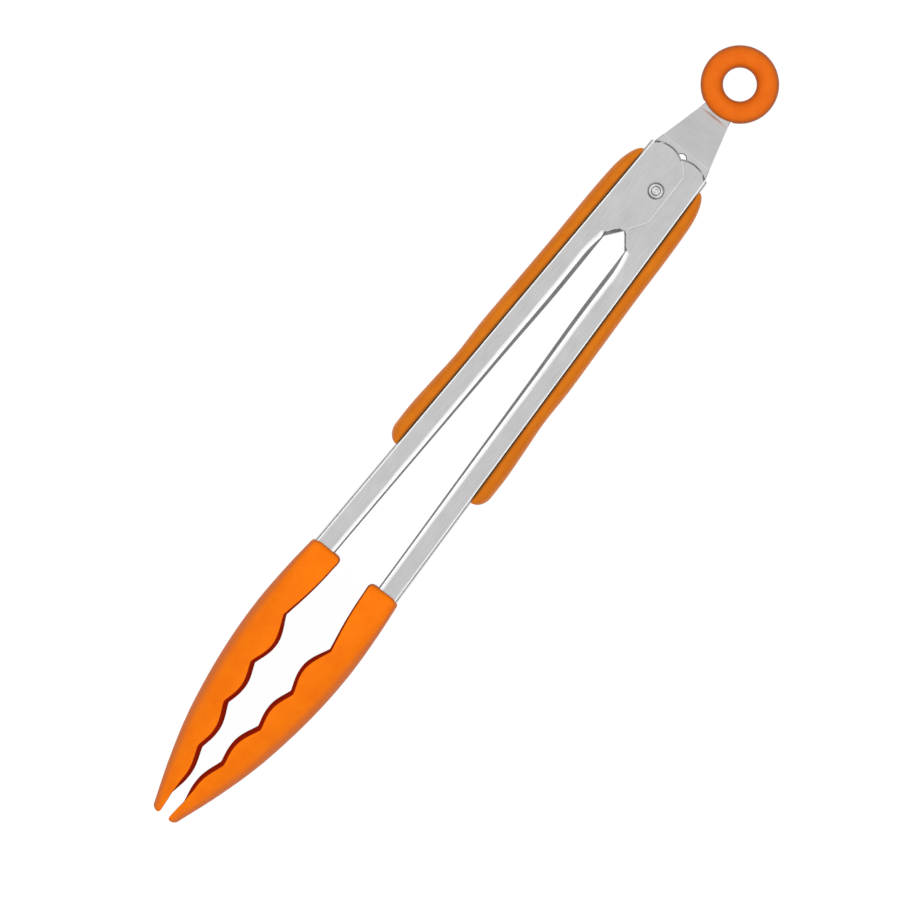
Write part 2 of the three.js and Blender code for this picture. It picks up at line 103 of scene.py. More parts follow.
def pick(kind, wanted):
    # kind is verts, edges or faces
    modes = {"verts": "VERT", "edges": "EDGE", "faces": "FACE"}
    bpy.ops.mesh.select_mode(type=modes[kind])
    bpy.ops.mesh.select_all(action="DESELECT")
    data = bpy.context.edit_object.data
    mesh = bmesh.from_edit_mesh(data)
    for item in getattr(mesh, kind):
        if wanted(item):
            item.select_set(True)
    mesh.select_flush_mode()
    bmesh.update_edit_mesh(data)


def settle(place):
    # moves what is selected, vertex by vertex
    data = bpy.context.edit_object.data
    for vertex in bmesh.from_edit_mesh(data).verts:
        if vertex.select:
            vertex.co = place(vertex.co)
    bmesh.update_edit_mesh(data)


def pullEdges(x=0.0, y=0.0, z=0.0):
    bpy.ops.mesh.extrude_edges_move(TRANSFORM_OT_translate={"value": (x, y, z)})


def newPiece(name):
    piece = bpy.context.object
    piece.name = piece.data.name = name
    return piece


def modify(piece, kind, **settings):
    bpy.ops.object.modifier_add(type=kind)
    modifier = piece.modifiers[-1]
    for key, value in settings.items():
        setattr(modifier, key, value)
    bpy.ops.object.modifier_apply(modifier=modifier.name)


def makeActive(piece):
    bpy.ops.object.select_all(action="DESELECT")
    piece.select_set(True)
    bpy.context.view_layer.objects.active = piece


def cutWith(piece, cutter):
    makeActive(piece)
    modify(piece, "BOOLEAN", operation="DIFFERENCE", solver="EXACT", object=cutter)
    bpy.data.objects.remove(cutter)


def joinInto(piece, others):
    makeActive(piece)
    for other in others:
        other.select_set(True)
    bpy.ops.object.join()


def standInPlace(piece, turn=0.0):
    makeActive(piece)
    piece.scale = (mm, mm, mm)
    piece.rotation_euler.z = turn
    piece.location = pivot
    bpy.ops.object.transform_apply()


def faceOutwards():
    # a closed shape turned inside out has a negative volume
    bpy.ops.mesh.select_all(action="SELECT")
    bpy.ops.mesh.normals_make_consistent(inside=False)
    if bmesh.from_edit_mesh(bpy.context.edit_object.data).calc_volume(signed=True) < 0:
        bpy.ops.mesh.flip_normals()


def turnedPiece(name, profile, axis="Z", steps=64):
    # profile holds distances from the axis and places along it
    bpy.ops.mesh.primitive_circle_add(vertices=len(profile), radius=1, fill_type="NOTHING")
    piece = newPiece(name)
    for vertex, (out, along) in zip(piece.data.vertices, profile):
        vertex.co = (out, 0, along) if axis == "Z" else (along, out, 0)
    bpy.ops.object.mode_set(mode="EDIT")
    bpy.ops.mesh.select_all(action="SELECT")
    spinAxis = (0, 0, 1) if axis == "Z" else (1, 0, 0)
    bpy.ops.mesh.spin(steps=steps, angle=2 * math.pi, center=(0, 0, 0), axis=spinAxis)
    bpy.ops.mesh.select_all(action="SELECT")
    bpy.ops.mesh.remove_doubles(threshold=0.002)
    pick("edges", lambda edge: not edge.link_faces)
    bpy.ops.mesh.delete(type="EDGE")
    faceOutwards()
    bpy.ops.object.mode_set(mode="OBJECT")
    return piece


def fittedBar(name, around, cuts, fit):
    # a closed bar cut into rings, each vertex put where its number in the ring and its share
    # of the length say
    bpy.ops.mesh.primitive_cylinder_add(vertices=around, radius=1, depth=1, end_fill_type="NGON")
    piece = newPiece(name)
    bpy.ops.object.mode_set(mode="EDIT")
    pick("edges", lambda edge: abs(edge.verts[0].co.z - edge.verts[1].co.z) > 0.5)
    bpy.ops.mesh.subdivide_edgering(number_cuts=cuts, interpolation="LINEAR", smoothness=0)
    bpy.ops.mesh.select_all(action="SELECT")
    spots = []

    def place(co):
        number = round(math.atan2(co.y, co.x) * around / (2 * math.pi)) % around
        spots.append((number, co.z + 0.5))
        return Vector(fit(*spots[-1]))

    settle(place)
    faceOutwards()
    bpy.ops.object.mode_set(mode="OBJECT")
    return piece, spots


def paintShade(piece, values):
    # painted shade from 0 to 1 per vertex, which the material turns into darker colour
    shade = piece.data.attributes.new("rimShade", "FLOAT", "POINT")
    shade.data.foreach_set("value", values)


def smoothAll(piece, angle=35):
    makeActive(piece)
    bpy.ops.object.shade_smooth_by_angle(angle=math.radians(angle))


def finishSheet(piece, cutEdge, segments, clamp=True, turn=0.0):
    # cut edges are softened, and flat faces stay flat in their shading
    modify(
        piece, "BEVEL", width=cutEdge, segments=segments, limit_method="ANGLE",
        angle_limit=math.radians(50), use_clamp_overlap=clamp,
    )
    standInPlace(piece, turn)
    smoothAll(piece)
    modify(piece, "WEIGHTED_NORMAL", keep_sharp=True, weight=80)


def upperSpot(number, first, last, around):
    # place of a ring's vertex in its upper half, which the lower half mirrors, and whether it is there
    upper = first <= number <= last
    return (number if upper else (2 * first - number) % around), upper


# Materials

class Wire:
    # one output of a node, with arithmetic that adds Math nodes
    def __init__(self, tree, socket=None):
        self.tree = tree
        self.socket = socket

    def make(self, kind, settings=None, inputs=None, output=0):
        node = self.tree.nodes.new("ShaderNode" + kind)
        for key, value in (settings or {}).items():
            if key == "stops":
                ramp = node.color_ramp.elements
                while len(ramp) < len(value):
                    ramp.new(0.5)
                for stop, (place, shade) in zip(ramp, value):
                    stop.position = place
                    stop.color = (*shade, 1)
            else:
                setattr(node, key, value)
        for key, value in (inputs or {}).items():
            if isinstance(value, Wire):
                self.tree.links.new(value.socket, node.inputs[key])
            else:
                node.inputs[key].default_value = value
        return Wire(self.tree, node.outputs[output])

    def sum(self, operation, first, second):
        return self.make("Math", {"operation": operation}, {0: first, 1: second})

    def __add__(self, other):
        return self.sum("ADD", self, other)

    def __sub__(self, other):
        return self.sum("SUBTRACT", self, other)

    def __mul__(self, other):
        return self.sum("MULTIPLY", self, other)

    __radd__ = __add__

    def between(self, low, high):
        # this value as a share of the way from low to high
        return self.make("MapRange", {"clamp": True}, {0: self, 1: low, 2: high})

    def blend(self, first, second):
        # from the first colour to the second by this value
        return self.make("Mix", {"data_type": "RGBA"}, {0: self, 6: first, 7: second}, 2)

    def noise(self, place, size, detail):
        # size is in millimetres
        inputs = {"Vector": place, "Scale": 1 / (size * mm), "Detail": detail}
        return self.make("TexNoise", {}, inputs)


def linear(red, green, blue):
    # screen colour from 0 to 255 as the shader wants it
    def one(value):
        value = value / 255
        return value / 12.92 if value <= 0.04045 else ((value + 0.055) / 1.055) ** 2.4

    return (one(red), one(green), one(blue), 1)


def newMaterial(name, **constants):
    material = bpy.data.materials.new(name)
    material.use_nodes = True
    shader = material.node_tree.nodes["Principled BSDF"]
    for key, value in constants.items():
        shader.inputs[key.replace("_", " ")].default_value = value
    return material, shader, Wire(material.node_tree)


def wireUp(shader, tree, colour, roughness, height, depth):
    # depth is the bump's height in millimetres
    bump = tree.make("Bump", {}, {"Strength": 1.0, "Distance": depth * mm, "Height": height})
    for key, wire in (("Base Color", colour), ("Roughness", roughness), ("Normal", bump)):
        tree.tree.links.new(wire.socket, shader.inputs[key])


def brushedSteel(name, look, turn=0.0):
    # grain runs along the piece, turned as its arm is
    material, shader, tree = newMaterial(name, Metallic=1.0, Specular_IOR_Level=0.5)
    place = tree.make("TexCoord", output=3)
    inputs = {"Vector": place, "Rotation": (0, 0, turn), "Scale": look["grainStretch"]}
    along = tree.make("Mapping", {}, inputs)
    grain = tree.noise(along, look["grain"], 4.0)
    broad = tree.noise(place, look["cloud"], 2.0)
    scratch = tree.noise(along, look["scratch"], 2.0).between(*look["scratchRange"])
    grainShare, broadShare = look["toneShares"]
    tone = grain.between(*look["toneRange"]) * grainShare + broad.between(*look["toneRange"]) * broadShare
    colour = tone.blend(look["dark"], look["light"])
    roughness = look["roughness"] + grain * look["roughnessGrain"] - scratch * look["scratchShine"]
    height = grain + scratch * -look["scratchDepth"]
    wireUp(shader, tree, colour, roughness, height, look["grainDepth"])
    return material


steelLook = {
    "grain": 0.3, "grainStretch": (1, 0.06, 1), "cloud": 9, "scratch": 0.9,
    "dark": linear(193, 193, 194), "light": linear(209, 209, 209),
    "roughness": 0.26, "roughnessGrain": 0.06, "grainDepth": 0.0015,
    "toneRange": (0.3, 0.7), "toneShares": (0.6, 0.4),
    "scratchRange": (0.6, 0.78), "scratchShine": 0.05, "scratchDepth": 0.6,
}
tabLook = {**steelLook, "grainStretch": (0.06, 1, 1)}
rivetLook = {**steelLook, "grainStretch": (1, 1, 1), "roughness": 0.12, "grainDepth": 0.001}
springLook = {
    **steelLook, "grainStretch": (1, 1, 0.3), "roughness": 0.2,
    "dark": linear(150, 152, 154), "light": linear(196, 198, 200),
}

rubberLook = {
    "cloudRange": (0.3, 0.7), "toothRange": (0.35, 0.65), "toneShares": (0.7, 0.3),
    "bloomSize": 2.6, "bloomRange": (0.5, 0.75),  # size against that of the clouds
    "roughnessCloud": 0.1, "roughnessBloom": 0.06, "cloudHeight": 0.5,
}


def softSilicone(name, look):
    # satin moulded rubber: fine even tooth, slow changes of tone, a duller bloom here and there
    material, shader, tree = newMaterial(name, Specular_IOR_Level=look["specular"], IOR=1.41)
    place = tree.make("TexCoord", output=3)
    tooth = tree.noise(place, look["tooth"], 2.0)
    cloud = tree.noise(place, look["cloud"], 3.0)
    bloomSize = look["cloud"] * rubberLook["bloomSize"]
    bloom = tree.noise(place, bloomSize, 2.0).between(*rubberLook["bloomRange"])
    cloudShare, toothShare = rubberLook["toneShares"]
    cloudTone = cloud.between(*rubberLook["cloudRange"]) * cloudShare
    tone = cloudTone + tooth.between(*rubberLook["toothRange"]) * toothShare
    colour = tone.blend(look["dark"], look["light"])
    if "side" in look:  # painted shade: duller, darker colour where the surface turns down, away from the light above
        facing = tree.make("SeparateXYZ", {}, {0: tree.make("NewGeometry", output=1)}, 2)
        colour = (facing * facing).between(*look["sideShadeFade"]).blend(look["side"], colour)
    if "paintedShade" in look:  # painted shade, darker where the mesh's shade attribute says so
        paintedShade = tree.make("Attribute", {"attribute_name": "rimShade"}, output=2)
        colour = paintedShade.blend(colour, look["paintedShade"])
    roughness = look["roughness"] + cloud * rubberLook["roughnessCloud"]
    roughness = roughness + bloom * rubberLook["roughnessBloom"]
    wireUp(shader, tree, colour, roughness, tooth + cloud * rubberLook["cloudHeight"], look["toothDepth"])
    return material


headLook = {
    # the painted shade colour is the deep red of the lip's end face in shadow
    "dark": linear(244, 113, 0), "light": linear(252, 126, 2), "paintedShade": linear(148, 24, 0),
    # side: painted shade, the darker duller orange of the steep sides
    "side": linear(202, 98, 22), "sideShadeFade": (0.02, 0.45),
    "tooth": 0.35, "cloud": 5, "toothDepth": 0.015, "roughness": 0.46, "specular": 0.1,
}
ringLook = {
    "dark": linear(222, 99, 6), "light": linear(236, 112, 12),
    # side: painted shade, the darker orange of the ring's steep sides
    "side": linear(160, 72, 4), "sideShadeFade": (0.02, 0.6),
    "tooth": 0.3, "cloud": 4, "toothDepth": 0.015, "roughness": 0.42, "specular": 0.15,
}
gripLook = {
    # the painted shade colour is the dark brown of the shadowed seam at the steel
    "dark": linear(204, 106, 6), "light": linear(216, 119, 14), "paintedShade": linear(84, 52, 18),
    "tooth": 0.4, "cloud": 6, "toothDepth": 0.02, "roughness": 0.48, "specular": 0.15,
}
nylonLook = {
    "dark": linear(78, 78, 80), "light": linear(96, 96, 98),
    "tooth": 0.5, "cloud": 7, "toothDepth": 0.02, "roughness": 0.4, "specular": 0.5,
}


def dress(piece, material, body, node):
    # a piece without a body is attached to none
    piece.data.materials.clear()
    piece.data.materials.append(material)
    if body:
        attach(piece, body)
    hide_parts(node)


# Camera, straight above and turned so that the ring is at the upper right

cameraLook = {
    "centre": (-0.0004, -0.0065), "turn": math.radians(38.26), "distance": 4.0,
    "subjectHeight": 0.027, "viewWidth": 0.2823,
}
bpy.ops.object.camera_add(
    location=(*cameraLook["centre"], cameraLook["subjectHeight"] + cameraLook["distance"]),
    rotation=(0, 0, cameraLook["turn"]),
)
camera = bpy.context.object
camera.name = "topCamera"
camera.data.lens = camera.data.sensor_width * cameraLook["distance"] / cameraLook["viewWidth"]
camera.data.clip_end = 20
bpy.context.scene.camera = camera
print("camera ready")


# Head outline, used by the arms' closed angle and by the heads

headSize = {
    "tipReach": 249.7, "length": 97.9, "depth": 17, "tipGap": 2.4,
    "back": [
        (0, 0.62), (0.13, 1.42), (0.27, 1.62), (0.41, 0.67),
        (0.55, -1.33), (0.7, -4.53), (0.85, -9.23), (1, -14.98),
    ],
    "valleys": [
        (0, 0.95), (0.253, 3.1), (0.436, 1), (0.589, -0.68), (0.752, -3.4), (0.925, -5.2), (1, -6.15),
    ],
    "lobes": [0.5, 2.75, 1.8, 1.95, 1.8, 0], "lobeSharpness": 1.2,
    "heights": [(0, 0.74), (0.18, 0.92), (0.4, 1), (0.6, 0.97), (0.8, 0.76), (1, 0.46)],
    "rimWidths": [(0, 0.35), (0.06, 0.45), (0.25, 0.9), (0.32, 1.4), (0.86, 1.45), (0.925, 0.1), (1, 0)],
    "rimDrop": 2.0, "slimDrop": 0.4, "floor": 5.0, "shallowest": 0.05,
    "lipRound": 0.3, "neckRound": 1.9, "tipRound": 1.1, "lipFrom": 0.97,
    "roundFrom": 0.3,  # share of the length from which the back is fully round
    "backHandle": (1.15, 0.62), "sideHandle": (0.98, 0.76), "sideIn": 0.22,
    "floorHandle": (0.85, 0.6), "wallHandle": (0.2, 0.84),
    "scoopEnds": ((3, 12), (5, 14)),  # solid length and run-out at the neck and at the tip
    "around": 72, "spots": (19, 55), "cuts": 190, "crowding": 0.82, "flute": 0.45,
    # spots where the lip's painted shade lies, how far it fades into the scoop, and where the rim is too
    # narrow for it
    "rimSpots": (40, 43), "rimFade": 5, "rimNarrow": (0.02, 0.3),
}
headStart = headSize["tipReach"] - headSize["length"]
backCurve = curveThrough(headSize["back"])
heightCurve = curveThrough(headSize["heights"])
rimCurve = curveThrough(headSize["rimWidths"])


def lobeAt(share):
    # line between the valleys, the lobe's height over it, and the lobe's swell from 0 to 1
    valleys = headSize["valleys"]
    number = max(k for k in range(len(valleys) - 1) if k == 0 or valleys[k][0] < share)
    (start, low), (end, high) = valleys[number], valleys[number + 1]
    t = min(max((share - start) / (end - start), 0), 1)
    swell = math.sin(math.pi * t) ** headSize["lobeSharpness"] if 0 < t < 1 else 0.0
    return lerp(low, high, t), headSize["lobes"][number] * swell, swell


def lipAt(share):
    middle, lobe, _ = lobeAt(share)
    return middle - lobe


lastLobe = 0.86
lastLobeReach = headStart + headSize["length"] * lastLobe
closedTurn = math.atan((headSize["tipGap"] / 2 - lipAt(lastLobe)) / lastLobeReach)


# Steel arms

armSize = {
    "halfWidth": 11.53, "halfHeight": 10.3, "innerHalfHeight": 9.5, "sheet": 0.6, "bend": 1.4,
    "webTop": 12.25, "joggle": (22, 34), "endReach": 152.9, "tongueHalf": 6, "tongue": 33,
    "edges": [(21, 3.44), (44, 3.1), (70, 3.45), (125, 3.9), (151.8, 4.05)],
    "hemSlope": [(20, 1.65), (60, 1.5), (120, 1.4), (125, 1.25), (151.8, 1.25)],
    "hemRoll": [(21.4, 0.3), (25, 0.95), (30, 1.35), (60, 1.15), (94, 0.75), (120, 0.6), (151.8, 0.5)],
    "slopeStart": (19, 21.6), "rollStart": (20.4, 21.4), "lipStart": (20.4, 22),
    "slopeProfile": [(0.15, 0.03), (0.5, 0.15), (1, 0.36)],
    "rollProfile": [(0.1, 0.065), (0.5, 0.37), (1, 0.76)], "lipDrop": 1.2, "lipTurn": (-0.25, -0.5),
    "notchTop": 15.8, "notchRoll": {"left": 1.35, "right": 0.45}, "notchFade": (0.1, 0.55),
    "notchEdge": ((15.7, -0.5), 21),  # reach and place of its corner, and the reach where it ends
    "earStart": (-9.55, 12.6),
    "earBows": [((-4.6, 15.3), (0.2, 12.5), 10), ((3.9, 10.4), (4.15, 7.6), 8)],
    "earSide": [
        (4.29, 3.5), (4.43, -0.6), (4.57, -4.8), (4.7, -8.9), (3.3, -11.17), (1.9, -13.43), (0.5, -15.7),
    ],
    "notchReaches": (15.9, 16.1, 16.35, 17.2, 18.2, 19, 19.8, 20.4),
    "bendSteps": 6, "cornerCut": 0.6, "earPartner": -20,
    "rivetHole": 1.45, "pegHole": 2.3, "cutEdge": 0.15,
    "tabReach": 19.6, "tabClear": 8.56,
    "arcWall": 0.85,  # walls of the ear's arc look up at least this much
    "arcEdge": (0.52, 0.38), "longEdge": (0.32, 0.08),  # width and drop of the ear's cut edges
}
edgeCurve = curveThrough(armSize["edges"])
slopeCurve = curveThrough(armSize["hemSlope"])
rollCurve = curveThrough(armSize["hemRoll"])
bendLine = armSize["bend"] - armSize["halfWidth"]  # where the flat flange starts to turn down


def armEdge(reach):
    (cornerReach, cornerIn), flangeReach = armSize["notchEdge"]
    if reach >= flangeReach:
        return -edgeCurve(reach)
    return lerp(-cornerIn, -edgeCurve(flangeReach), (reach - cornerReach) / (flangeReach - cornerReach))


def hemWidths(reach, word):
    # gentle slope, then the rolled edge, which also lines the notch
    fadeStart, fadeEnd = (armSize["notchTop"] + below for below in armSize["notchFade"])
    notch = armSize["notchRoll"][word] * smoothStep(reach, fadeStart, fadeEnd)
    slope = slopeCurve(reach) * smoothStep(reach, *armSize["slopeStart"])
    return slope, lerp(notch, rollCurve(reach), smoothStep(reach, *armSize["rollStart"]))


def flangeStations(word):
    # inner edge point and the height of its partner on the bend line
    size = armSize
    start = size["earStart"]
    ear = [start]
    for control, end, count in size["earBows"]:
        ear += bowPoints(start, control, end, count)
        start = end
    ear += size["earSide"]
    ear += [(armEdge(reach), -reach) for reach in size["notchReaches"]]
    joggleEnd = size["joggle"][1]
    reaches = evenSteps(size["notchEdge"][1], joggleEnd, 10) + evenSteps(joggleEnd, size["endReach"], 44)[1:]
    inner = ear + [(armEdge(reach), -reach) for reach in reaches]
    stations = []
    for number, (x, y) in enumerate(inner):
        partner = y
        if number < len(ear):
            partner = lerp(size["webTop"], size["earPartner"], number / (len(ear) - 1))
        hem = sum(hemWidths(-y, word)) if y < -size["notchTop"] else 0
        stations.append((x - hem, round(y, 2), round(partner, 2)))
    return stations


def rollInnerEdge(stations, word):
    # the inner edge slopes down a little and is then rolled under
    size = armSize
    top = size["halfHeight"]
    profile = [(across, 0, drop, 0, 0) for across, drop in size["slopeProfile"]]
    slopeEnd = profile[-1][2]
    profile += [(1, across, slopeEnd, drop, 0) for across, drop in size["rollProfile"]]
    profile.append((1, 1, slopeEnd, profile[-1][3], size["lipDrop"]))
    edgeX = {y: x for x, y, _ in stations}

    def onHemLine(vertex):
        start = edgeX.get(round(vertex.co.y, 2))
        atEdge = start is not None and abs(vertex.co.x - start) < 1e-3
        return atEdge and abs(vertex.co.z - top) < 1e-4 and -vertex.co.y > size["notchTop"]

    pick("edges", lambda edge: all(onHemLine(v) for v in edge.verts))
    for slopeOut, rollOut, slopeDown, rollDown, lip in profile:
        pullEdges(x=0.01)

        def rolled(co):
            slope, roll = hemWidths(-co.y, word)
            across = edgeX[round(co.y, 2)] + slope * slopeOut + roll * rollOut
            drop = slope * slopeDown + roll * rollDown + lip * smoothStep(-co.y, *size["lipStart"])
            return Vector((across, co.y, top - drop))

        settle(rolled)
    across, down = size["lipTurn"]
    pullEdges(x=across, z=down)


def cutEarEdges(side, earTop):
    # the ear's arc and its long edge each get a sloping cut edge, above the notch
    size = armSize

    def wallBeside(edge):
        # which way the cut wall looks that meets the ear's outside face here
        at = edge.verts[0].co
        if len(edge.link_faces) < 2 or at.y < -size["notchTop"]:
            return None
        wall, flat = sorted(edge.link_faces, key=lambda face: abs(face.normal.z))
        outside = flat.normal.z * at.z > 0.9 * abs(at.z)
        return wall.normal if outside and abs(wall.normal.z) < 0.3 else None

    def onArc(edge):
        wall = wallBeside(edge)
        return wall is not None and wall.y > size["arcWall"]

    def onLongEdge(edge):
        wall = wallBeside(edge)
        return wall is not None and wall.x * side < -0.3 and wall.y < size["arcWall"]

    for wanted, (width, drop) in ((onArc, size["arcEdge"]), (onLongEdge, size["longEdge"])):
        pick("edges", wanted)
        bpy.ops.mesh.bevel(offset=width, segments=1, affect="EDGES")
        bpy.ops.mesh.mark_sharp()

        def flatten(co):
            onRow = abs(abs(co.z) - earTop + width) < 0.01
            return co + Vector((0, 0, math.copysign(width - drop, co.z))) if onRow else co

        settle(flatten)


def armPiece(name, side, word, innerArm):
    size = armSize
    top = size["halfHeight"]
    stations = flangeStations(word)
    bpy.ops.mesh.primitive_plane_add(size=2)
    piece = newPiece(name)
    bpy.ops.object.mode_set(mode="EDIT")
    bpy.ops.mesh.select_all(action="SELECT")

    def onStation(co, station):
        x, y, partner = station
        return Vector((x, y, top)) if co.x > bendLine + 0.5 else Vector((bendLine, partner, top))

    def firstFace(co):
        outward = Vector((bendLine if co.x < 0 else 0, 0, 0))
        return onStation(outward, stations[0] if co.y > 0 else stations[1])

    settle(firstFace)
    pick("edges", lambda edge: all(round(v.co.y, 2) in stations[1] for v in edge.verts))
    for station in stations[2:]:
        pullEdges(y=-0.01)
        settle(lambda co: onStation(co, station))

    # the outer side is turned down over the bend and runs to the middle plane
    pick("edges", lambda edge: all(abs(v.co.x - bendLine) < 1e-4 for v in edge.verts))
    turns = evenSteps(0, math.pi / 2, size["bendSteps"])
    for before, after in zip(turns, turns[1:]):
        pullEdges(
            x=-size["bend"] * (math.sin(after) - math.sin(before)),
            z=size["bend"] * (math.cos(after) - math.cos(before)),
        )
    pullEdges(z=size["tongueHalf"] - (top - size["bend"]))
    pullEdges(z=-size["tongueHalf"])
    pick("verts", lambda v: v.co.y > size["webTop"] - 0.1 and v.co.x < bendLine + 0.1)
    settle(lambda co: co - Vector((0, (bendLine - co.x) * size["cornerCut"], 0)))

    rollInnerEdge(stations, word)
    if innerArm:  # narrower round the pivot, and stepping out to full height below it
        step = top - size["innerHalfHeight"]
        pick("verts", lambda v: v.co.z > size["tongueHalf"] + 0.1)
        settle(lambda co: co - Vector((0, 0, step * (1 - smoothStep(-co.y, *size["joggle"])))))
    bpy.ops.mesh.select_all(action="SELECT")
    bpy.ops.mesh.symmetrize(direction="POSITIVE_Z", threshold=0.001)

    def onTongue(vertex):
        atEnd = vertex.co.y < 0.01 - size["endReach"] and vertex.co.x < 0.01 - size["halfWidth"]
        return atEnd and abs(vertex.co.z) < size["tongueHalf"] + 0.01

    pick("edges", lambda edge: all(onTongue(v) for v in edge.verts))
    pullEdges(y=-size["tongue"])
    bpy.ops.mesh.select_all(action="SELECT")
    bpy.ops.mesh.remove_doubles(threshold=0.002)
    if side > 0:
        bpy.ops.transform.resize(value=(-1, 1, 1), center_override=(0, 0, 0))
    bpy.ops.mesh.normals_make_consistent(inside=False)
    mesh = bmesh.from_edit_mesh(piece.data)
    topFace = max(mesh.faces, key=lambda face: abs(face.normal.z) * face.calc_area())
    if topFace.normal.z * topFace.calc_center_median().z < 0:
        bpy.ops.mesh.flip_normals()
    bpy.ops.object.mode_set(mode="OBJECT")
    modify(piece, "SOLIDIFY", thickness=size["sheet"], offset=-1, use_even_offset=True)

    # nothing of the notch's rolled edge hangs into the lock tab's way
    clear = size["tabClear"]

    def inTheWay(vertex):
        inside = -vertex.co.y < size["tabReach"] and abs(vertex.co.x) < -bendLine - 0.3
        return inside and abs(vertex.co.z) < clear

    bpy.ops.object.mode_set(mode="EDIT")
    pick("verts", inTheWay)
    settle(lambda co: Vector((co.x, co.y, math.copysign(clear, co.z))))
    bpy.ops.object.mode_set(mode="OBJECT")

    bpy.ops.mesh.primitive_cylinder_add(vertices=48, radius=size["rivetHole"], depth=30)
    cutWith(piece, newPiece("rivetHole"))
    for reach in pegReaches:
        bpy.ops.mesh.primitive_cylinder_add(
            vertices=32, radius=size["pegHole"], depth=6,
            location=(side * size["halfWidth"], -reach, 0), rotation=(0, math.pi / 2, 0),
        )
        cutWith(piece, newPiece("pegHole"))
    makeActive(piece)
    bpy.ops.object.mode_set(mode="EDIT")
    cutEarEdges(side, size["innerHalfHeight"] if innerArm else top)
    bpy.ops.object.mode_set(mode="OBJECT")
    finishSheet(piece, size["cutEdge"], 3, turn=side * closedTurn)
    return piece


# Soft grips on the backs of the arms

gripSize = {
    "start": -7.8, "end": headStart - 38.6, "thickness": 4.1, "headEnd": 11, "toeEnd": 5,
    "bulge": [
        (0, 0.86), (0.15, 1), (0.32, 0.96), (0.5, 0.98), (0.62, 0.99),
        (0.72, 0.88), (0.82, 1), (0.9, 1.07), (1, 0.96),
    ],
    "pegShares": [0.36, 0.63, 0.89], "peg": 2, "pegRoot": 0.4, "pegSeat": 0.3,
    "pegCrown": [(2.9, 0), (3.2, 0.3), (2.7, 1.0), (1.8, 1.4), (0, 1.5)],
    "overBend": 48, "fit": 0.06, "edgeIn": 11.15, "endDrop": 1.0, "endTuck": 0.35, "thinnest": 0.06,
    "sidePower": 0.45, "topPower": 0.7, "edgeCrowding": 1.8, "crowding": 0.9,
    "around": 64, "cuts": 84,
    "spots": (20, 40, 43, 52),  # middle of the back, pad's edge, end of the bend, middle plane inside
    # painted shadow along the seam, by place in the ring
    "paintedSeamShades": {38: 0.1, 39: 0.45, 40: 1.0, 41: 1.0, 42: 1.0, 43: 1.0},
}
gripBulge = curveThrough(gripSize["bulge"])
pegReaches = [lerp(gripSize["start"], gripSize["end"], share) for share in gripSize["pegShares"]]


def crowdedShare(share, crowding):
    # rings stand closer together towards both ends
    return share - crowding * math.sin(2 * math.pi * share) / (2 * math.pi)


def roundEnd(distance, length):
    t = min(max(1 - distance / length, 0), 1)
    return math.sqrt(1 - t * t)


def gripPiece(name, side, innerArm):
    size = gripSize
    arm = armSize
    length = size["end"] - size["start"]
    backSpot, padSpot, bendSpot, innerSpot = size["spots"]

    def fit(number, share):
        reach = size["start"] + length * crowdedShare(share, size["crowding"])
        ends = min(
            roundEnd(reach - size["start"], size["headEnd"]),
            roundEnd(size["end"] - reach, size["toeEnd"]),
        )
        bulge = gripBulge((reach - size["start"]) / length)
        thickness = size["thickness"] * bulge * max(ends, size["thinnest"])
        step = arm["halfHeight"] - arm["innerHalfHeight"] if innerArm else 0
        lowered = step * (1 - smoothStep(reach, *arm["joggle"]))
        spot, upper = upperSpot(number, backSpot, innerSpot, size["around"])
        bendZ = arm["halfHeight"] - arm["bend"]
        hug = arm["bend"] + size["fit"]
        if spot <= padSpot:  # from the middle of the back to the edge over the bend
            turn = math.pi / 2 * (1 - (spot - backSpot) / (padSpot - backSpot)) ** size["edgeCrowding"]
            depth = arm["halfWidth"] + thickness - size["edgeIn"]
            x = -size["edgeIn"] - depth * math.sin(turn) ** size["sidePower"]
            z = (arm["halfHeight"] - size["endDrop"] * (1 - ends)) * math.cos(turn) ** size["topPower"]
        elif spot <= bendSpot:  # lying on the bend
            reachOver = math.radians(size["overBend"]) * (bendSpot - spot) / 2
            turn = reachOver * (size["endTuck"] + (1 - size["endTuck"]) * ends)
            x = bendLine - hug * math.cos(turn)
            z = bendZ + hug * math.sin(turn)
        else:
            x = bendLine - hug
            z = bendZ * (innerSpot - spot) / (innerSpot - bendSpot)
        z = max(z - lowered * z / arm["halfHeight"], 0)
        return (side * -x, -reach, z if upper else -z)

    def paintedSeamShade(number):
        # painted shadow: dark where the pad meets the steel, as the gap between them would be in shade
        spot = upperSpot(number, backSpot, innerSpot, size["around"])[0]
        return size["paintedSeamShades"].get(spot, 0.0)

    piece, spots = fittedBar(name, size["around"], size["cuts"], fit)
    paintShade(piece, [paintedSeamShade(number) for number, _ in spots])
    pegs = []
    root = -arm["halfWidth"] - size["pegRoot"]
    inside = arm["halfWidth"] - arm["sheet"] - size["pegSeat"]
    profile = [(0, root), (size["peg"], root), (size["peg"], -inside)]
    profile += [(out, up - inside) for out, up in size["pegCrown"]]
    profile = [(out, along * -side) for out, along in profile]
    for reach in pegReaches:
        peg = turnedPiece(name + "Peg", profile, axis="X", steps=32)
        peg.location.y = -reach
        makeActive(peg)
        bpy.ops.object.transform_apply()
        pegs.append(peg)
    joinInto(piece, pegs)
    standInPlace(piece, side * closedTurn)
    smoothAll(piece, 40)
    return piece


# Scalloped heads

